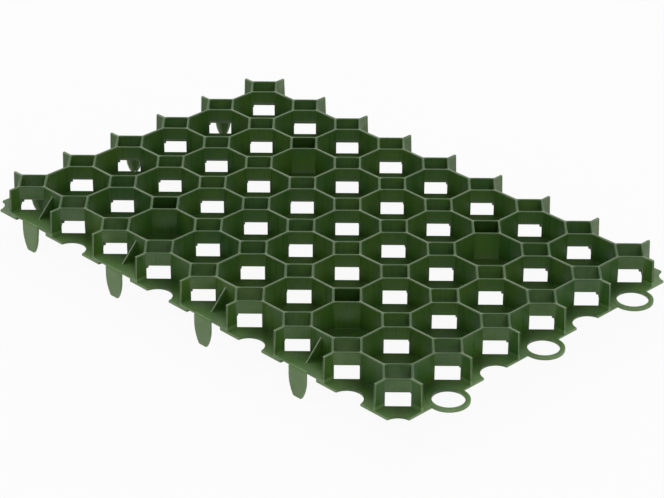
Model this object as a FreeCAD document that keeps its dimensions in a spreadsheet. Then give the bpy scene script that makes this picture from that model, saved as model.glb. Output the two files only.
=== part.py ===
import FreeCAD, Part
import Sketcher
import math
import os

doc = FreeCAD.newDocument("grass_paver_grid")

# Driving dimensions of the grid, in millimetres, and its counts
driving_sizes = {
    "pitch": 66.667,             # from one small square to the next
    "columns": 9,                # small squares along the length
    "rows": 6,                   # small squares across the width
    "joint_gap": 3.0,            # gap between two laid plates
    "plate_thickness": 2.6,
    "grid_height": 31.7,         # underside of the plate to the top of the walls
    "wall_thickness": 2.8,
    "square_side": 27.0,         # small square, between the middles of its walls
    "stub_taper": 2.7,           # middle of the joint to the top corner of a wall's end
    "window_height": 18.0,       # underside of the plate to the head of a window
    "opening_length": 27.2,      # opening in the plate below a small square, at its thin lip
    "opening_flare": 4.8,        # how far that opening widens on each side, down to the underside
    "opening_lip": 0.4,          # thickness of the plate at the lip
    "hole_radius": 16.5,         # round hole in the floor of an eight-sided cell
    "rim_width": 4.8,            # flat rim round each such hole
    "ring_hole_radius": 15.9,    # hole of a coupling ring, and the notches in line with the rings
    "ring_width": 4.9,           # coupling ring, from its hole to its outside
    "rim_height": 3.2,           # rims and coupling rings, from the underside of the plate
    "ring_clearance": 0.3,       # room above a ring that lies below a raised floor
    "recess_margin": 3.3,        # room round a ring that lies below a raised floor
    "spike_width": 23.4,         # at the plate
    "spike_straight": 5.0,       # straight sides, below the underside of the plate
    "spike_tip_width": 12.4,
    "spike_tip_radius": 2.2,
    "spike_length": 27.0,        # below the underside of the plate
    "spike_thickness": 2.7,      # blade, from the middle of the joint inwards
    "spike_rib": 2.2,            # rib down the back of the blade
    "gusset_thickness": 2.0,
    "gusset_drop": 4.0,          # top of the wall to the top of a gusset
    "gusset_setback": 10.7,      # edge of the plate to the foot of a gusset
    "cup_column": 2,             # first closed cup, counted from the corner square
    "cup_row": 1,
    "cup_columns_apart": 4,
    "cup_rows_apart": 3,
}

sizes = doc.addObject("Spreadsheet::Sheet", "Sizes")
for line, (alias, value) in enumerate(driving_sizes.items(), start=1):
    sizes.set(f"A{line}", alias)
    sizes.set(f"B{line}", str(value))
    sizes.setAlias(f"B{line}", alias)
doc.recompute()

# Sizes that follow from the driving ones
plate_length = "(Sizes.columns * Sizes.pitch - Sizes.joint_gap)"
plate_width = "(Sizes.rows * Sizes.pitch - Sizes.joint_gap)"
square_outside = "(Sizes.square_side + Sizes.wall_thickness)"
square_inside = "(Sizes.square_side - Sizes.wall_thickness)"
rim_radius = "(Sizes.hole_radius + Sizes.rim_width)"
ring_radius = "(Sizes.ring_hole_radius + Sizes.ring_width)"
raise_height = "(Sizes.rim_height + Sizes.ring_clearance)"
raised_top = f"({raise_height} + Sizes.plate_thickness)"
floor_middle = f"({raise_height} + Sizes.plate_thickness / 2)"
spike_flat = "(Sizes.spike_tip_width - 2 * Sizes.spike_tip_radius)"

# The grid stands about the middle of its plate, with the underside of the plate at height 0
front_edge = f"(-{plate_width} / 2)"
left_edge = f"(-{plate_length} / 2)"
below = "(-Sizes.plate_thickness)"
through = "(Sizes.grid_height + 2 * Sizes.plate_thickness)"
columns = int(sizes.columns)
rows = int(sizes.rows)


# Place along the length, counted in cells from the first column of small squares
def along(cells):
    return f"(({cells} - (Sizes.columns - 1) / 2) * Sizes.pitch)"


# Place across the width, counted in cells from the first row of small squares
def across(cells):
    return f"(({cells} - (Sizes.rows - 1) / 2) * Sizes.pitch)"


def bind_all(item, expressions):
    for name, expression in expressions.items():
        item.setExpression(name, expression)
    return item


def place(item, x, y, z):
    return bind_all(item, {"Placement.Base.x": x, "Placement.Base.y": y, "Placement.Base.z": z})


# An upright block about x and y, with its foot at z
def block(name, x, y, z, length, width, height):
    item = doc.addObject("Part::Box", name)
    bind_all(item, {"Length": length, "Width": width, "Height": height})
    return place(item, f"{x} - {length} / 2", f"{y} - {width} / 2", z)


# The same block turned by an eighth of a turn, as the small squares are
def turned_block(name, x, y, z, length, width, height):
    item = doc.addObject("Part::Box", name)
    item.Placement.Rotation = FreeCAD.Rotation(FreeCAD.Vector(0, 0, 1), 45)
    bind_all(item, {"Length": length, "Width": width, "Height": height})
    corner_x = f"{x} + ({width} - {length}) / 2 / sqrt(2)"
    corner_y = f"{y} - ({width} + {length}) / 2 / sqrt(2)"
    return place(item, corner_x, corner_y, z)


# An upright block about x and y that is longer at its foot than at its top, turned by an angle
def tapered_block(name, turn, x, y, z, foot_length, top_length, width, height):
    item = doc.addObject("Part::Wedge", name)
    upright = FreeCAD.Rotation(FreeCAD.Vector(1, 0, 0), 90)
    item.Placement.Rotation = FreeCAD.Rotation(FreeCAD.Vector(0, 0, 1), turn).multiply(upright)
    bind_all(item, {"Xmin": f"-{foot_length} / 2", "Xmax": f"{foot_length} / 2", "Ymax": height})
    bind_all(item, {"X2min": f"-{top_length} / 2", "X2max": f"{top_length} / 2"})
    bind_all(item, {"Zmin": f"-{width} / 2", "Zmax": f"{width} / 2"})
    bind_all(item, {"Z2min": f"-{width} / 2", "Z2max": f"{width} / 2"})
    return place(item, x, y, z)


def disc(name, x, y, z, radius, height):
    item = doc.addObject("Part::Cylinder", name)
    bind_all(item, {"Radius": radius, "Height": height})
    return place(item, x, y, z)


def fuse(name, pieces):
    item = doc.addObject("Part::MultiFuse", name)
    item.Shapes = pieces
    item.Refine = False
    return item


def bind(sketch, constraint, expression):
    index = sketch.addConstraint(constraint)
    sketch.setExpression(f"Constraints[{index}]", expression)


# A sketch that stands upright, its X axis along the length or across the width
def upright_sketch(name, along_length, x, y):
    sketch = doc.addObject("Sketcher::SketchObject", name)
    upright = FreeCAD.Rotation(FreeCAD.Vector(1, 0, 0), 90)
    turn = FreeCAD.Rotation(FreeCAD.Vector(0, 0, 1), 0 if along_length else 90)
    sketch.Placement.Rotation = turn.multiply(upright)
    return place(sketch, x, y, "0")


def extrude(sketch, direction, thickness, symmetric=False):
    item = doc.addObject("Part::Extrusion", sketch.Name.replace("_outline", ""))
    item.Base = sketch
    item.DirMode = "Custom"
    item.Dir = direction
    item.Solid = True
    item.Symmetric = symmetric
    item.setExpression("LengthFwd", thickness)
    return item


# A closed outline of straight sides through corners given as pairs of expressions
def polygon(sketch, corners):
    count = len(corners)
    places = [FreeCAD.Vector(sketch.evalExpression(x), sketch.evalExpression(y), 0) for x, y in corners]
    for side in range(count):
        sketch.addGeometry(Part.LineSegment(places[side], places[(side + 1) % count]))
    for side in range(count):
        sketch.addConstraint(Sketcher.Constraint("Coincident", side, 2, (side + 1) % count, 1))
    for side, (x, y) in enumerate(corners):
        bind(sketch, Sketcher.Constraint("DistanceX", -1, 1, side, 1, places[side].x), x)
        bind(sketch, Sketcher.Constraint("DistanceY", -1, 1, side, 1, places[side].y), y)


def arc(center, radius, start, end):
    return Part.ArcOfCircle(Part.Circle(center, FreeCAD.Vector(0, 0, 1), radius), start, end)


# A blade with straight sides that then bow in to a flat tip with round corners
def spike_outline(sketch, head):
    half = sketch.evalExpression("Sizes.spike_width / 2")
    flat = sketch.evalExpression(spike_flat) / 2
    top = sketch.evalExpression(head)
    straight = sketch.evalExpression("Sizes.spike_straight")
    length = sketch.evalExpression("Sizes.spike_length")
    corner = sketch.evalExpression("Sizes.spike_tip_radius")
    drop = length - straight - corner
    inset = half - flat
    bow = (drop ** 2 + inset ** 2 - corner ** 2) / (2 * (inset - corner))
    slope = math.atan2(drop, bow - inset)
    top_line, right_side, right_bow, right_corner, tip_line, left_corner, left_bow, left_side = range(8)
    top_right = FreeCAD.Vector(half, top, 0)
    top_left = FreeCAD.Vector(-half, top, 0)
    right_foot = FreeCAD.Vector(half, -straight, 0)
    left_foot = FreeCAD.Vector(-half, -straight, 0)
    sketch.addGeometry(Part.LineSegment(top_left, top_right))
    sketch.addGeometry(Part.LineSegment(top_right, right_foot))
    sketch.addGeometry(arc(FreeCAD.Vector(half - bow, -straight, 0), bow, -slope, 0))
    sketch.addGeometry(arc(FreeCAD.Vector(flat, corner - length, 0), corner, -math.pi / 2, -slope))
    sketch.addGeometry(Part.LineSegment(FreeCAD.Vector(flat, -length, 0), FreeCAD.Vector(-flat, -length, 0)))
    sketch.addGeometry(arc(FreeCAD.Vector(-flat, corner - length, 0), corner, math.pi + slope, math.pi * 3 / 2))
    sketch.addGeometry(arc(FreeCAD.Vector(bow - half, -straight, 0), bow, math.pi, math.pi + slope))
    sketch.addGeometry(Part.LineSegment(left_foot, top_left))
    for constraint in (
        ("Coincident", top_line, 2, right_side, 1),
        ("Coincident", top_line, 1, left_side, 2),
        ("Tangent", right_side, 2, right_bow, 2),
        ("Tangent", left_side, 1, left_bow, 1),
        ("Tangent", right_bow, 1, right_corner, 2),
        ("Tangent", left_bow, 2, left_corner, 1),
        ("Tangent", right_corner, 1, tip_line, 1),
        ("Tangent", left_corner, 2, tip_line, 2),
        ("Symmetric", top_line, 1, top_line, 2, -2),
        ("Symmetric", tip_line, 1, tip_line, 2, -2),
        ("Vertical", right_side),
        ("Vertical", left_side),
        ("Equal", right_corner, left_corner),
    ):
        sketch.addConstraint(Sketcher.Constraint(*constraint))
    bind(sketch, Sketcher.Constraint("DistanceX", top_line, 1, top_line, 2, 2 * half), "Sizes.spike_width")
    bind(sketch, Sketcher.Constraint("DistanceX", tip_line, 2, tip_line, 1, 2 * flat), spike_flat)
    bind(sketch, Sketcher.Constraint("DistanceY", -1, 1, top_line, 1, top), head)
    bind(sketch, Sketcher.Constraint("DistanceY", tip_line, 1, -1, 1, length), "Sizes.spike_length")
    bind(sketch, Sketcher.Constraint("DistanceY", right_side, 2, -1, 1, straight), "Sizes.spike_straight")
    bind(sketch, Sketcher.Constraint("DistanceY", left_side, 1, -1, 1, straight), "Sizes.spike_straight")
    bind(sketch, Sketcher.Constraint("Radius", right_corner, corner), "Sizes.spike_tip_radius")


# The shoulder that carries a blade out from the raised floor to the middle of the joint
def shoulder_outline(sketch, joint, edge):
    inside = f"({joint} + Sizes.spike_thickness)"
    polygon(sketch, [(edge, raised_top), (joint, raise_height), (inside, raise_height), (inside, raised_top)])


# The half of a spike's rib that lies behind its blade
def half_rib(name, whole, keep):
    item = doc.addObject("Part::Common", name)
    item.Base = whole
    item.Tool = keep
    return item


# A web that slopes from the wall behind an edge cell down to the raised floor near the edge
def gusset_outline(sketch, wall, edge):
    top = "(Sizes.grid_height - Sizes.gusset_drop)"
    foot = f"({edge} + Sizes.gusset_setback)"
    polygon(sketch, [(wall, top), (wall, floor_middle), (foot, floor_middle), (foot, raised_top)])


squares = [(column, row) for column in range(columns) for row in range(rows)]
cells = [(column + 0.5, row + 0.5) for column in range(columns - 1) for row in range(rows - 1)]
cup_columns = (int(sizes.cup_column), int(sizes.cup_column + sizes.cup_columns_apart))
cup_rows = (int(sizes.cup_row), int(sizes.cup_row + sizes.cup_rows_apart))
cups = [(column, row) for column in cup_columns for row in cup_rows]

# Edge cells are half cells with their middle in the joint. Couplings take every other one,
# spikes at the front and left and rings at the back and right, and notches take the rest.
front, back = -0.5, rows - 0.5
left, right = -0.5, columns - 0.5
coupling_columns = [gap + 0.5 for gap in range(0, columns - 1, 2)]
coupling_rows = [gap + 0.5 for gap in range(0, rows - 1, 2)]
notch_columns = [gap + 0.5 for gap in range(1, columns - 1, 2)]
notch_rows = [gap + 0.5 for gap in range(1, rows - 1, 2)]
notches = [(column, row) for column in notch_columns for row in (front, back)]
notches += [(column, row) for column in (left, right) for row in notch_rows]
notches += [(column, row) for column in (left, right) for row in (front, back)]
rings = [(column, back) for column in coupling_columns]
rings += [(right, row) for row in coupling_rows]
raised = [(column, front) for column in coupling_columns]
raised += [(left, row) for row in coupling_rows]

# The base plate and the walls: straight ones both ways, and the small squares where they cross.
# The ends of the straight walls are flush with the plate, and lean in above the raised floors.
plate = block("plate", "0", "0", "0", plate_length, plate_width, "Sizes.plate_thickness")
top_length = "(Sizes.columns * Sizes.pitch - 2 * Sizes.stub_taper)"
top_width = "(Sizes.rows * Sizes.pitch - 2 * Sizes.stub_taper)"
thick, tall = "Sizes.wall_thickness", "Sizes.grid_height"
lean_height = f"({tall} - {raised_top})"
walls = []
for row in range(rows):
    y = across(row)
    walls.append(block("long_foot", "0", y, "0", plate_length, thick, raised_top))
    leaning = (plate_length, top_length, thick, lean_height)
    walls.append(tapered_block("long_wall", 0, "0", y, raised_top, *leaning))
for column in range(columns):
    x = along(column)
    walls.append(block("short_foot", x, "0", "0", thick, plate_width, raised_top))
    leaning = (plate_width, top_width, thick, lean_height)
    walls.append(tapered_block("short_wall", 90, x, "0", raised_top, *leaning))
walls += [
    turned_block("square", along(column), across(row), "0", square_outside, square_outside, "Sizes.grid_height")
    for column, row in squares
]

# Rims of the round holes, and the rings that a neighbour's spikes go through
rims = [
    disc("rim", along(column), across(row), "0", rim_radius, "Sizes.rim_height")
    for column, row in cells
]
coupling_rings = [
    disc("ring", along(column), across(row), "0", ring_radius, "Sizes.rim_height")
    for column, row in rings
]

# Raised floors above a neighbour's rings, each with its gusset and its spike
reach = "(Sizes.pitch - Sizes.joint_gap) / 2"
rib_depth = "(Sizes.spike_width / 2)"
rib_height = f"({floor_middle} + Sizes.spike_length)"
raised_pieces = []
spikes = []
for column in coupling_columns:
    x = along(column)
    middle = f"({front_edge} + {reach} / 2)"
    raised_pieces.append(block("front_floor", x, middle, "0", "Sizes.pitch", reach, raised_top))
    sketch = upright_sketch("front_gusset_outline", False, x, "0")
    gusset_outline(sketch, across(0), front_edge)
    raised_pieces.append(extrude(sketch, FreeCAD.Vector(1, 0, 0), "Sizes.gusset_thickness", True))
    sketch = upright_sketch("front_shoulder_outline", False, x, "0")
    shoulder_outline(sketch, across(front), front_edge)
    spikes.append(extrude(sketch, FreeCAD.Vector(1, 0, 0), "Sizes.spike_width", True))
    sketch = upright_sketch("front_blade_outline", True, x, across(front))
    spike_outline(sketch, raise_height)
    spikes.append(extrude(sketch, FreeCAD.Vector(0, 1, 0), "Sizes.spike_thickness"))
    sketch = upright_sketch("front_rib_outline", False, x, across(front))
    spike_outline(sketch, floor_middle)
    rib = extrude(sketch, FreeCAD.Vector(1, 0, 0), "Sizes.spike_rib", True)
    behind = f"({across(front)} + Sizes.spike_thickness / 2 + {rib_depth} / 2)"
    space = block("front_rib_space", x, behind, "-Sizes.spike_length", rib_depth, rib_depth, rib_height)
    spikes.append(half_rib("front_half_rib", rib, space))
for row in coupling_rows:
    y = across(row)
    middle = f"({left_edge} + {reach} / 2)"
    raised_pieces.append(block("left_floor", middle, y, "0", reach, "Sizes.pitch", raised_top))
    sketch = upright_sketch("left_gusset_outline", True, "0", y)
    gusset_outline(sketch, along(0), left_edge)
    raised_pieces.append(extrude(sketch, FreeCAD.Vector(0, 1, 0), "Sizes.gusset_thickness", True))
    sketch = upright_sketch("left_shoulder_outline", True, "0", y)
    shoulder_outline(sketch, along(left), left_edge)
    spikes.append(extrude(sketch, FreeCAD.Vector(0, 1, 0), "Sizes.spike_width", True))
    sketch = upright_sketch("left_blade_outline", False, along(left), y)
    spike_outline(sketch, raise_height)
    spikes.append(extrude(sketch, FreeCAD.Vector(1, 0, 0), "Sizes.spike_thickness"))
    sketch = upright_sketch("left_rib_outline", True, along(left), y)
    spike_outline(sketch, floor_middle)
    rib = extrude(sketch, FreeCAD.Vector(0, 1, 0), "Sizes.spike_rib", True)
    behind = f"({along(left)} + Sizes.spike_thickness / 2 + {rib_depth} / 2)"
    space = block("left_rib_space", behind, y, "-Sizes.spike_length", rib_depth, rib_depth, rib_height)
    spikes.append(half_rib("left_half_rib", rib, space))

# What is open: the small squares with their windows, the round holes and notches, and the
# recesses below the raised floors. A small square has windows at its front and at both sides.
# The closed cups keep their floor and have no windows.
lip_length = "Sizes.opening_length"
flared_length = f"({lip_length} + 2 * Sizes.opening_flare)"
flare_height = "(Sizes.plate_thickness - Sizes.opening_lip)"
window_rise = "(Sizes.window_height - Sizes.plate_thickness)"
side_length = f"({square_outside} + Sizes.plate_thickness)"
front_length = f"({side_length} / 2)"
front_reach = f"({front_length} / sqrt(8))"
hollows = []
for column, row in squares:
    x, y, foot = along(column), across(row), "Sizes.plate_thickness"
    if (column, row) in cups:
        hollows.append(turned_block("cup", x, y, foot, square_inside, square_inside, tall))
        continue
    front_x, front_y = f"({x} + {front_reach})", f"({y} - {front_reach})"
    hollows.append(turned_block("shaft", x, y, below, square_inside, square_inside, through))
    hollows.append(turned_block("front_window", front_x, front_y, foot, square_inside, front_length, window_rise))
    hollows.append(turned_block("side_windows", x, y, foot, side_length, square_inside, window_rise))
    for turn in (45, -45):
        flare = (flared_length, lip_length, square_inside, flare_height)
        hollows.append(tapered_block("flare", turn, x, y, "0", *flare))
    hollows.append(turned_block("lip", x, y, "0", lip_length, square_inside, foot))
    hollows.append(turned_block("lip", x, y, "0", square_inside, lip_length, foot))
for column, row in cells:
    hollows.append(disc("hole", along(column), across(row), below, "Sizes.hole_radius", through))
for column, row in notches + rings:
    hollows.append(disc("ring_hole", along(column), across(row), below, "Sizes.ring_hole_radius", through))
recess_radius = f"({ring_radius} + Sizes.recess_margin)"
recess_height = f"({raise_height} - {below})"
for column, row in raised:
    hollows.append(disc("recess", along(column), across(row), below, recess_radius, recess_height))

opened = doc.addObject("Part::Cut", "opened")
opened.Base = fuse("blank", [plate] + rims + coupling_rings + raised_pieces + walls)
opened.Tool = fuse("hollows", hollows)
opened.Refine = False
grid = fuse("grid", [opened] + spikes)
grid.Refine = True
grid.Label = "grass_paver_grid"

doc.recompute()
for item in doc.Objects:
    if "Invalid" in item.State or "Error" in item.State:
        raise RuntimeError(f"{item.Label} failed")
if grid.Shape.isNull() or not grid.Shape.isValid() or len(grid.Shape.Solids) != 1:
    raise RuntimeError(f"{grid.Label} is not one sound solid")

os.makedirs("parts", exist_ok=True)
grid.Shape.exportStep(f"parts/{grid.Label}.step")
print(f"{grid.Label}: {grid.Shape.Volume / 1000:.1f} cm3, {grid.Shape.BoundBox}")
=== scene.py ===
import bpy
import bmesh
import math
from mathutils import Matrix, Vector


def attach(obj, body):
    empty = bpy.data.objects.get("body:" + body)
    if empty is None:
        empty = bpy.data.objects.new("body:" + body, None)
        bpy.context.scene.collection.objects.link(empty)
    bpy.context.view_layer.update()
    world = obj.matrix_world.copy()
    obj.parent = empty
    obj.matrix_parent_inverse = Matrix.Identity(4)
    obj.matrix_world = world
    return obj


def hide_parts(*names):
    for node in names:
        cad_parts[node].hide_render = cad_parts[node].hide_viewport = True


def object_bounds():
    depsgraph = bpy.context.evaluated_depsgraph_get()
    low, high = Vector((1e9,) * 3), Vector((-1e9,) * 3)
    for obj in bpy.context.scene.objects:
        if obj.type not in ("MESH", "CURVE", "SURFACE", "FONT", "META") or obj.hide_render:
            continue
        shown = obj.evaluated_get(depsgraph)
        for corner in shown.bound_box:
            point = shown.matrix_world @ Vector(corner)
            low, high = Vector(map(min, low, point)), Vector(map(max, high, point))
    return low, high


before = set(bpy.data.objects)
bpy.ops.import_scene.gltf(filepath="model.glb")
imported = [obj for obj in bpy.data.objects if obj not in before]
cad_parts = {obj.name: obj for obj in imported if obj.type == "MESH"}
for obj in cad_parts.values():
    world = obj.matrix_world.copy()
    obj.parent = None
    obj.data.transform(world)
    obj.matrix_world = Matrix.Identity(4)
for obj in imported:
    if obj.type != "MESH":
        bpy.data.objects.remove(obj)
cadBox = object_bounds()
scene = bpy.context.scene
scene.view_settings.view_transform = "Standard"
print("frame loaded", [list(corner) for corner in cadBox])


def deselectAll():
    for thing in bpy.context.selected_objects:
        thing.select_set(False)


def makeActive(thing):
    deselectAll()
    thing.select_set(True)
    bpy.context.view_layer.objects.active = thing


def newMaterial(name):
    material = bpy.data.materials.new(name)
    material.use_nodes = True
    tree = material.node_tree
    tree.nodes.clear()
    return material, tree


# a shader node with its plain values; an input given as an output socket is linked
def addNode(tree, kind, settings=None, **inputs):
    node = tree.nodes.new(kind)
    for name, value in (settings or {}).items():
        setattr(node, name, value)
    for name, value in inputs.items():
        numbered = name.startswith("in") and name[2:].isdigit()
        key = int(name[2:]) if numbered else name.replace("_", " ")
        if isinstance(value, bpy.types.NodeSocket):
            tree.links.new(value, node.inputs[key])
        else:
            node.inputs[key].default_value = value
    return node


def addMath(tree, operation, *values):
    inputs = {f"in{index}": value for index, value in enumerate(values)}
    return addNode(tree, "ShaderNodeMath", {"operation": operation}, **inputs).outputs[0]


def addRange(tree, value, span, onto=(0.0, 1.0)):
    return addNode(tree, "ShaderNodeMapRange", Value=value, From_Min=span[0], From_Max=span[1],
                   To_Min=onto[0], To_Max=onto[1]).outputs[0]


def mixColours(tree, share, first, second):
    return addNode(tree, "ShaderNodeMix", {"data_type": "RGBA"}, in0=share, in6=first, in7=second).outputs[2]


# moulded grid: a copy of the CAD solid with its edges eased
gridLook = {
    "pitch": 0.066667,          # from one small square to the next
    "mergeDistance": 0.00001,
    "flatAngle": math.radians(0.5),
    "edgeAngle": math.radians(35),
    "smoothAngle": math.radians(18),    # round holes are smooth, eased edges stay crisp
    "topEase": 0.0005,          # wall tops
    "outerEase": 0.0004,        # other outer edges
    "innerEase": 0.00018,       # inner corners
    "lipEase": 0.0001,          # thin lips under the windows
    "lipBand": (0.0021, 0.0027),    # heights between which those lips stand
    "lipUpright": 0.1,          # most that an upright lip's normal leans
    "topReach": 0.0002,         # how near the top an edge has to be
}


# selected edges get their share of the widest ease, by where they lie
def markEases(mesh):
    low, high = gridLook["lipBand"]
    topLine = cadBox[1][2] - gridLook["topReach"]
    work = bmesh.new()
    work.from_mesh(mesh)
    shares = work.edges.layers.float.new("bevel_weight_edge")
    for edge in work.edges:
        if not edge.select:
            continue
        ease = gridLook["outerEase"] if edge.is_convex else gridLook["innerEase"]
        if all(vertex.co.z > topLine for vertex in edge.verts):
            ease = gridLook["topEase"]
        for face in edge.link_faces:
            upright = abs(face.normal.z) < gridLook["lipUpright"]
            if upright and all(low < vertex.co.z < high for vertex in face.verts):
                ease = gridLook["lipEase"]
        edge[shares] = ease / gridLook["topEase"]
    work.to_mesh(mesh)
    work.free()


# painted light and shade by place, with some real rubbing on the outer edges: 1 is quite pale, or quite dark
rubLightAndShadeLook = {
    "paleRubAndHighlight": 1.0,             # eased outer edges: painted highlight on some real rubbing
    # spikes, the plate's outer edge and the gussets' slopes get painted light and highlights
    "spikeLight": 0.34,
    "plateEdgeHighlight": 0.3,
    "gussetHighlight": 0.4,
    "outerWallLight": 0.22,           # slanting walls of the outermost squares, painted light where they face the open studio
    "stubSheen": 0.6,             # wall ends along the back edge, painted sheen
    "cornerDull": 0.6,          # painted shade in eased inner corners
    "holeShade": 0.36,           # painted shade on the walls of the round holes
    "cupShade": 0.66,            # painted shade, since little light gets into the closed cups
    "upright": 0.3,             # an upright face's normal rises or falls less than this
    "level": 0.9,               # a level face's normal rises or falls more than this
    "slope": 0.5,               # a slope's normal rises more than this
    "slant": 0.5,               # a slanting wall looks this far along both axes
    "stubTurn": 0.7,            # a wall end's side looks this far along the length
    "edgeReach": 0.0022,        # middle of the joint to just inside the plate's outer edge
    "edgeTop": 0.008,
    "stubLine": 0.182,
    "outerLines": (0.257, 0.157),   # the outermost squares' inner walls lie just outside these
    "holeTop": 0.0022,
    "cupHalf": 0.0127,
    "cupFloor": 0.001,          # the cups' insides lie above this
    "cupPlaces": ((-2, -1.5), (-2, 1.5), (2, -1.5), (2, 1.5)),     # in pitches from the middle
}


# only the rings reach past the middle of the joint
def onRing(middle):
    return any(abs(middle[axis]) > -cadBox[0][axis] for axis in (0, 1))


def atPlateEdge(middle):
    return any(abs(middle[axis]) > -cadBox[0][axis] - rubLightAndShadeLook["edgeReach"] for axis in (0, 1))


def insideCup(middle):
    for column, row in rubLightAndShadeLook["cupPlaces"]:
        along = abs(middle.x - column * gridLook["pitch"])
        across = abs(middle.y - row * gridLook["pitch"])
        if (along + across) / math.sqrt(2) < rubLightAndShadeLook["cupHalf"] and middle.z > rubLightAndShadeLook["cupFloor"]:
            return True
    return False


# slanting walls of the outermost squares that look away from the grid
def facesOut(middle, facing):
    if min(abs(facing.x), abs(facing.y)) < rubLightAndShadeLook["slant"]:
        return False
    return any(abs(middle[axis]) > line and facing[axis] * middle[axis] > 0
               for axis, line in enumerate(rubLightAndShadeLook["outerLines"]))


def onBackStub(middle, facing):
    return (facing.x > rubLightAndShadeLook["stubTurn"] and middle.y > rubLightAndShadeLook["stubLine"]
            and middle.z > rubLightAndShadeLook["edgeTop"])


# how much painted light and how much painted shade a plain face gets
def faceLightAndShade(middle, facing):
    upright = abs(facing.z) < rubLightAndShadeLook["upright"]
    if middle.z < 0 and abs(facing.z) < rubLightAndShadeLook["level"]:
        return rubLightAndShadeLook["spikeLight"], 0.0
    if upright and atPlateEdge(middle) and middle.z < rubLightAndShadeLook["edgeTop"]:
        return rubLightAndShadeLook["plateEdgeHighlight"], 0.0
    if rubLightAndShadeLook["slope"] < facing.z < rubLightAndShadeLook["level"]:
        return rubLightAndShadeLook["gussetHighlight"], 0.0
    if upright and middle.z < rubLightAndShadeLook["holeTop"] and not onRing(middle):
        return 0.0, rubLightAndShadeLook["holeShade"]
    if insideCup(middle):
        return 0.0, rubLightAndShadeLook["cupShade"]
    if onBackStub(middle, facing):
        return rubLightAndShadeLook["stubSheen"], 0.0
    if facesOut(middle, facing):
        return rubLightAndShadeLook["outerWallLight"], 0.0
    return 0.0, 0.0


# an eased face on an outer edge gets rubbing with a painted highlight, in an inner corner painted shade
def easedRubLightAndShade(face):
    bends = [edge for edge in face.edges if edge.calc_face_angle(0) > gridLook["flatAngle"]]
    outward = sum(1 if edge.is_convex else -1 for edge in bends)
    return (rubLightAndShadeLook["paleRubAndHighlight"], 0.0) if outward > 0 else (0.0, rubLightAndShadeLook["cornerDull"])


def markRubLightAndShade(mesh):
    work = bmesh.new()
    work.from_mesh(mesh)
    paleLayer = work.faces.layers.float.new("paleRubAndHighlight")
    shadeLayer = work.faces.layers.float.new("cornerDull")
    for face in work.faces:
        eased = face.material_index == 1
        wear = easedRubLightAndShade(face) if eased else faceLightAndShade(face.calc_center_median(), face.normal)
        face[paleLayer], face[shadeLayer] = wear
        face.material_index = 0
    work.to_mesh(mesh)
    work.free()


def buildGrid(plastic):
    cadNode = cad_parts["grass_paver_grid"]
    grid = bpy.data.objects.new("mouldedGrid", cadNode.data.copy())
    scene.collection.objects.link(grid)
    makeActive(grid)
    grid.data.materials.clear()
    grid.data.materials.append(plastic)
    grid.data.materials.append(plastic)      # second place marks the eased faces
    bpy.ops.object.mode_set(mode="EDIT")
    bpy.ops.mesh.select_mode(type="EDGE")
    bpy.ops.mesh.select_all(action="SELECT")
    bpy.ops.mesh.remove_doubles(threshold=gridLook["mergeDistance"])
    bpy.ops.mesh.dissolve_limited(angle_limit=gridLook["flatAngle"])
    bpy.ops.mesh.select_all(action="DESELECT")
    bpy.ops.mesh.edges_select_sharp(sharpness=gridLook["edgeAngle"])
    bpy.ops.object.mode_set(mode="OBJECT")
    print("grid merged:", len(grid.data.vertices), "points", len(grid.data.polygons), "faces")
    markEases(grid.data)
    ease = grid.modifiers.new("easedEdges", "BEVEL")
    ease.limit_method = "WEIGHT"
    ease.width = gridLook["topEase"]
    ease.segments = 1
    ease.use_clamp_overlap = False
    ease.material = 1
    bpy.ops.object.modifier_apply(modifier=ease.name)
    markRubLightAndShade(grid.data)
    grid.data.materials.pop(index=1)
    bpy.ops.object.shade_smooth_by_angle(angle=gridLook["smoothAngle"])
    print("grid eased:", len(grid.data.vertices), "points", len(grid.data.polygons), "faces")
    return grid


# dark green moulded plastic: cloudy regrind, draw marks down the walls, fine grain, rubbed edges with painted
# highlights, painted highlights on the wall tops and outer faces, painted shade in corners, holes and cups,
# painted light on the outer margin
plasticLook = {
    "deepGreen": (0.022, 0.088, 0.018, 1),
    "freshGreen": (0.066, 0.138, 0.014, 1),
    # painted highlight colour, also on the rubbed edges
    "rubAndHighlightGreen": (0.30, 0.39, 0.23, 1),
    # painted shade colour
    "shadeGreen": (0.014, 0.036, 0.008, 1),
    # painted light on the outer margin
    "marginGreen": (0.165, 0.310, 0.095, 1),
    "earth": (0.052, 0.046, 0.020, 1),
    "cloud": {"Scale": 16.0, "Detail": 4.0, "Roughness": 0.6},     # features of some 60 mm
    "drawScale": (420.0, 420.0, 16.0),      # drawn out up the walls
    "draw": {"Scale": 1.0, "Detail": 3.0, "Roughness": 0.55},
    "grain": {"Scale": 1300.0, "Detail": 2.0},
    "paleness": {"Scale": 70.0, "Detail": 3.0},
    "dust": {"Scale": 90.0, "Detail": 4.0},
    "noiseSpan": (0.3, 0.7),     # nearly all of a noise lies between these
    "cloudSpan": (0.32, 0.68),
    "drawShare": 0.38,           # draw marks against clouds
    "dustSpan": (0.35, 0.7),
    "dustMost": 0.4,
    "dustHeights": (0.009, 0.002),   # the film of dust is thick at the second, gone at the first
    "palenessAmounts": (0.25, 0.9),
    "wallReach": 0.0019,         # half a wall top and a little over
    "topLine": 0.0309,           # above this the walls' tops get a painted highlight
    # painted highlight on the long and the short walls' tops
    "longWallHighlight": 0.46,
    "shortWallHighlight": 0.22,
    "marginLines": (0.276, 0.176),   # outside these the plate gets painted light
    "marginFade": 0.021,
    "marginTop": 0.0068,
    "marginAmounts": (0.45, 0.95),
    "roughness": (0.27, 0.42),
    "drawRelief": {"Strength": 0.35, "Distance": 0.00012},
    "grainRelief": {"Strength": 0.3, "Distance": 0.00006},
    "ior": 1.47,
    "specular": 0.42,
}


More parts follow.
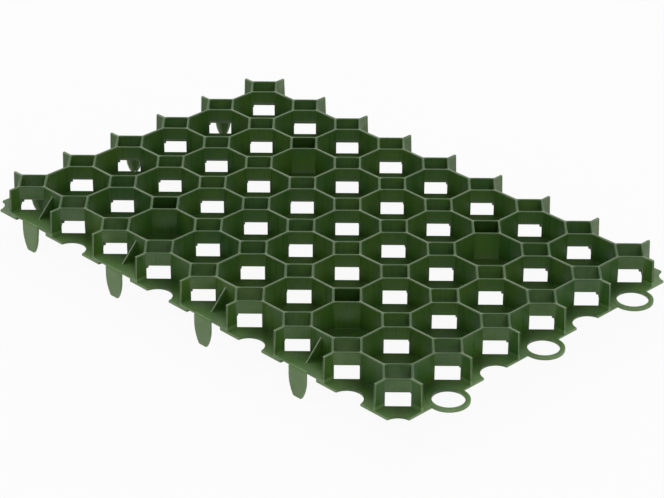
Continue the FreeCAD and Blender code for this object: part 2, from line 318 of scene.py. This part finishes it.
# how far a place lies from the nearest straight wall, taken from its distance along one axis
def wallDistance(tree, along, shift):
    cells = addMath(tree, "MULTIPLY_ADD", along, 1 / gridLook["pitch"], shift)
    nearest = addMath(tree, "PINGPONG", cells, 0.5)
    return addMath(tree, "MULTIPLY", nearest, gridLook["pitch"])


# the straight walls' tops get a painted highlight, the long ones more than the short ones
def topHighlight(tree, axes):
    amounts = []
    walls = (("Y", 0.5, plasticLook["longWallHighlight"]), ("X", 0.0, plasticLook["shortWallHighlight"]))
    for axis, shift, paleness in walls:
        distance = wallDistance(tree, axes[axis], shift)
        near = addMath(tree, "LESS_THAN", distance, plasticLook["wallReach"])
        amounts.append(addMath(tree, "MULTIPLY", near, paleness))
    high = addMath(tree, "GREATER_THAN", axes["Z"], plasticLook["topLine"])
    return addMath(tree, "MULTIPLY", addMath(tree, "MAXIMUM", *amounts), high)


# painted light on the plate's outer margin, where no cell closes it in
def marginLightShare(tree, axes, cloudy):
    outside = []
    for axis, line in zip("XY", plasticLook["marginLines"]):
        away = addMath(tree, "ABSOLUTE", axes[axis])
        outside.append(addRange(tree, away, (line, line + plasticLook["marginFade"])))
    low = addMath(tree, "LESS_THAN", axes["Z"], plasticLook["marginTop"])
    margin = addMath(tree, "MULTIPLY", addMath(tree, "MAXIMUM", *outside), low)
    uneven = addRange(tree, cloudy, plasticLook["noiseSpan"], plasticLook["marginAmounts"])
    return addMath(tree, "MULTIPLY", margin, uneven)


def addNoise(tree, place, name):
    return addNode(tree, "ShaderNodeTexNoise", Vector=place, **plasticLook[name]).outputs["Fac"]


def greenPlastic():
    look = plasticLook
    material, tree = newMaterial("greenPlastic")
    place = addNode(tree, "ShaderNodeTexCoord").outputs["Object"]
    axes = addNode(tree, "ShaderNodeSeparateXYZ", Vector=place).outputs
    drawPlace = addNode(tree, "ShaderNodeMapping", Vector=place, Scale=look["drawScale"]).outputs[0]
    cloud = addNoise(tree, place, "cloud")
    drawn = addNoise(tree, drawPlace, "draw")
    # cloudy base colour with the draw marks in it
    share = addNode(tree, "ShaderNodeMix", {"data_type": "FLOAT"}, in0=look["drawShare"],
                    in2=addRange(tree, cloud, look["cloudSpan"]),
                    in3=addRange(tree, drawn, look["noiseSpan"])).outputs[0]
    colour = mixColours(tree, share, look["deepGreen"], look["freshGreen"])
    # thin film of dust low in the cells
    low = addRange(tree, axes["Z"], look["dustHeights"])
    dust = addRange(tree, addNoise(tree, place, "dust"), look["dustSpan"], (0.0, look["dustMost"]))
    colour = mixColours(tree, addMath(tree, "MULTIPLY", low, dust), colour, look["earth"])
    # painted light on the plate's outer margin
    colour = mixColours(tree, marginLightShare(tree, axes, cloud), colour, look["marginGreen"])
    # rubbed outer edges with painted highlights, painted light on wall tops and outer faces, then painted
    # shade in inner corners, hole walls and cups
    edge = addNode(tree, "ShaderNodeAttribute", {"attribute_name": "paleRubAndHighlight"}).outputs["Fac"]
    corner = addNode(tree, "ShaderNodeAttribute", {"attribute_name": "cornerDull"}).outputs["Fac"]
    patchy = addRange(tree, addNoise(tree, place, "paleness"), look["noiseSpan"], look["palenessAmounts"])
    paleRubAndHighlight = addMath(tree, "MULTIPLY", edge, patchy)
    paleShare = addMath(tree, "MAXIMUM", paleRubAndHighlight, topHighlight(tree, axes))
    colour = mixColours(tree, paleShare, colour, look["rubAndHighlightGreen"])
    colour = mixColours(tree, corner, colour, look["shadeGreen"])
    # sheen changes with the draw marks
    rough = addRange(tree, drawn, look["noiseSpan"], look["roughness"])
    marks = addNode(tree, "ShaderNodeBump", Height=drawn, **look["drawRelief"]).outputs[0]
    relief = addNode(tree, "ShaderNodeBump", Height=addNoise(tree, place, "grain"), Normal=marks,
                     **look["grainRelief"]).outputs[0]
    shader = addNode(tree, "ShaderNodeBsdfPrincipled", Base_Color=colour, Roughness=rough, Normal=relief,
                     IOR=look["ior"], Specular_IOR_Level=look["specular"])
    addNode(tree, "ShaderNodeOutputMaterial", Surface=shader.outputs[0])
    print("plastic mixed:", len(tree.nodes), "nodes")
    return material


# camera, mirror and see-through rays meet plain white; other rays meet the real surface
def whiteForSight(tree, share):
    path = addNode(tree, "ShaderNodeLightPath").outputs
    sight = addMath(tree, "MAXIMUM", path["Is Camera Ray"], path["Is Glossy Ray"])
    seen = addMath(tree, "MAXIMUM", sight, path["Is Transmission Ray"])
    return addMath(tree, "MULTIPLY", seen, share)


# plain pale floor under the spikes
floorLook = {
    "half": 6.0,
    "pale": (0.8, 0.8, 0.8, 1),
    "whiteShare": 0.94,         # the rest shows the shadow
}


def buildFloor():
    deselectAll()
    bpy.ops.mesh.primitive_plane_add(size=2 * floorLook["half"])
    floor = bpy.context.object
    floor.name = "studioFloor"
    floor.location.z = cadBox[0][2]
    bpy.ops.object.transform_apply(location=True, rotation=False, scale=False)
    material, tree = newMaterial("paleFloor")
    diffuse = addNode(tree, "ShaderNodeBsdfDiffuse", Color=floorLook["pale"]).outputs[0]
    glow = addNode(tree, "ShaderNodeEmission", Strength=1.0).outputs[0]
    seen = whiteForSight(tree, floorLook["whiteShare"])
    mix = addNode(tree, "ShaderNodeMixShader", in0=seen, in1=diffuse, in2=glow)
    addNode(tree, "ShaderNodeOutputMaterial", Surface=mix.outputs[0])
    floor.data.materials.append(material)
    print("floor laid at", floorLook["half"], "m each way")


# soft studio light: a dim sky and wide softboxes standing low around the grid
studioLook = {
    "white": (1, 1, 1, 1),
    "skyStrength": 0.2,
    "distance": 2.6,
    "lamps": (                  # name, heading and height in degrees, side length, power, seen in the sheen
        ("rightSoftbox", -20, 30, 1.8, 13.0, False),
        ("frontSoftbox", -46, 30, 1.6, 8.0, False),
        ("backSoftbox", 125, 35, 2.2, 28.0, False),
        ("leftSoftbox", -142, 38, 0.9, 13.0, True),
        ("farRightSoftbox", 52, 38, 0.9, 6.0, True),
    ),
}


def buildSky():
    world = bpy.data.worlds.new("paleStudio")
    scene.world = world
    world.use_nodes = True
    tree = world.node_tree
    tree.nodes.clear()
    sky = addNode(tree, "ShaderNodeBackground", Color=studioLook["white"], Strength=studioLook["skyStrength"])
    white = addNode(tree, "ShaderNodeBackground", Color=studioLook["white"], Strength=1.0)
    seen = whiteForSight(tree, 1.0)
    mix = addNode(tree, "ShaderNodeMixShader", in0=seen, in1=sky.outputs[0], in2=white.outputs[0])
    addNode(tree, "ShaderNodeOutputWorld", Surface=mix.outputs[0])


def buildLamps():
    for name, heading, height, side, power, inSheen in studioLook["lamps"]:
        deselectAll()
        turn, rise = math.radians(heading), math.radians(height)
        across = studioLook["distance"] * math.cos(rise)
        up = studioLook["distance"] * math.sin(rise)
        place = (across * math.cos(turn), across * math.sin(turn), up)
        bpy.ops.object.light_add(type="AREA", location=place)
        lamp = bpy.context.object
        lamp.name = name
        lamp.rotation_euler = (-lamp.location).to_track_quat("-Z", "Y").to_euler()
        lamp.data.shape = "SQUARE"
        lamp.data.size = side
        lamp.data.energy = power
        lamp.visible_glossy = inSheen    # else mirror rays meet only the plain white studio
    print("studio lit by", len(studioLook["lamps"]), "softboxes")


# camera at the photograph's viewing angle
cameraLook = {
    "place": (1.66065, -1.63891, 1.27289),
    "angles": (61.2237, -0.3091, 45.3481),
    "lens": 139.761,
    "sensor": 36.0,
}


def buildCamera():
    deselectAll()
    turn = [math.radians(angle) for angle in cameraLook["angles"]]
    bpy.ops.object.camera_add(location=cameraLook["place"], rotation=turn)
    camera = bpy.context.object
    camera.name = "photoCamera"
    camera.data.sensor_width = cameraLook["sensor"]
    camera.data.lens = cameraLook["lens"]
    scene.camera = camera
    print("camera placed")


grid = buildGrid(greenPlastic())
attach(grid, "root")
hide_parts("grass_paver_grid")
buildFloor()
buildSky()
buildLamps()
buildCamera()
print("scene dressed")
